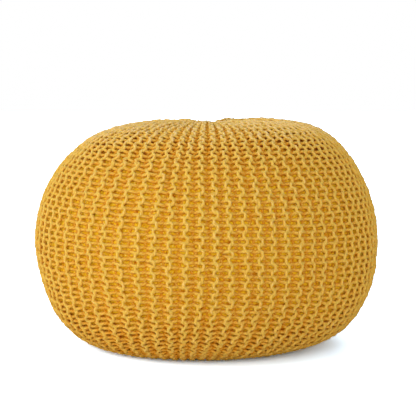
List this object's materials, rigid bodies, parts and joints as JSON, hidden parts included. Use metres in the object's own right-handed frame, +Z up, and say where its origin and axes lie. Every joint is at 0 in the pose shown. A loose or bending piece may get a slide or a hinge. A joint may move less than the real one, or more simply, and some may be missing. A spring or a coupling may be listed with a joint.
{
  "type": "knitted pouf",
  "caption": "Round filled pouf in a chunky ribbed knit cover, gathered into pleats round a shallow dimple at the crown and under the base; it stands on a flat patch.",
  "frame": {"origin": "middle of the footprint, on the surface that carries the pouf", "axes": "+Z up through the crown; -Y is the side that the picture shows, +X its right"},
  "size_m": [0.508, 0.5106, 0.336],
  "materials": {
    "yellow_knit": "matt cotton yarn, hand-knitted in garter stitch"
  },
  "bodies": {
    "root": {"knitted_pouf": "yellow_knit"}
  },
  "joints": []
}
